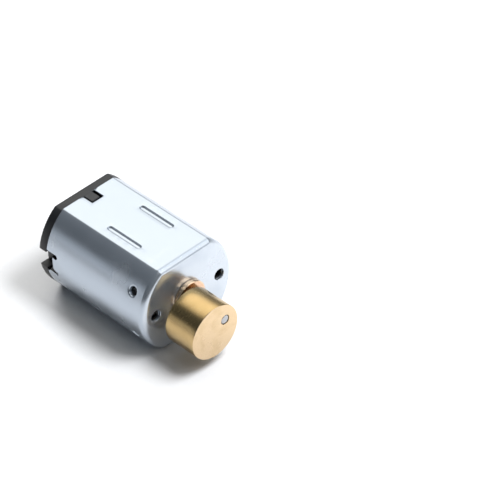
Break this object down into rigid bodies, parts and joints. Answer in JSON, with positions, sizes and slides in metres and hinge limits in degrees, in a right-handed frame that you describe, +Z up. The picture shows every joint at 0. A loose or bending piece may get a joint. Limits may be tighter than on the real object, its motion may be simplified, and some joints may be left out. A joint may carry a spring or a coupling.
{
  "type": "flat-sided vibration motor",
  "caption": "Small flat-sided brushed DC motor in a drawn steel can with a plastic end cap, solder terminals and an off-centre brass weight on its shaft.",
  "frame": {"origin": "centre of the can's front face, on the shaft axis", "axes": "+X along the shaft towards the weight, +Y across the round sides, +Z up, square to the flats"},
  "size_m": [0.0219, 0.012, 0.01],
  "materials": {
    "plated_steel": "satin zinc-nickel plate, bright on the flats, finely mottled on the round sides",
    "black_plastic": "satin moulded",
    "brass": "turned, satin end faces",
    "sintered_bronze": "copper-coloured sintered metal, satin",
    "tinned_metal": "bright tinned",
    "shaft_steel": "ground and polished",
    "magnet": "dark grey ferrite",
    "core_steel": "stamped electrical steel",
    "insulator": "matt moulded",
    "copper_wire": "enamelled winding",
    "commutator_copper": "polished track",
    "commutator_resin": "moulded resin",
    "spring_bronze": "stamped spring sheet",
    "damper_rubber": "soft matt",
    "washer_plastic": "low-friction sheet"
  },
  "bodies": {
    "housing": {"can": "plated_steel", "end_cap": "black_plastic", "front_bearing": "sintered_bronze", "rear_bearing": "sintered_bronze", "magnet_left": "magnet", "magnet_right": "magnet", "terminal_left": "tinned_metal", "terminal_right": "tinned_metal", "brush_left": "spring_bronze", "brush_right": "spring_bronze", "brush_damper_left": "damper_rubber", "brush_damper_right": "damper_rubber"},
    "rotor": {"shaft": "shaft_steel", "eccentric_weight": "brass", "spacer_sleeve": "insulator", "front_thrust_washer": "washer_plastic", "rear_thrust_washer": "washer_plastic", "core_insulator_front": "insulator", "core_insulator_rear": "insulator", "commutator_core": "commutator_resin", "commutator_ring": "insulator", "commutator_segment_1": "commutator_copper", "coil_1": "copper_wire", "commutator_segment_2": "commutator_copper", "coil_2": "copper_wire", "commutator_segment_3": "commutator_copper", "coil_3": "copper_wire", "lamination_1": "core_steel", "lamination_2": "core_steel", "lamination_3": "core_steel", "lamination_4": "core_steel", "lamination_5": "core_steel", "lamination_6": "core_steel", "lamination_7": "core_steel", "lamination_8": "core_steel", "lamination_9": "core_steel", "lamination_10": "core_steel", "lamination_11": "core_steel", "lamination_12": "core_steel"}
  },
  "joints": [
    {"name": "rotor_spin", "type": "hinge", "parent": "housing", "child": "rotor", "pos_m": [0, 0, 0], "axis": [1, 0, 0], "continuous": true}
  ]
}
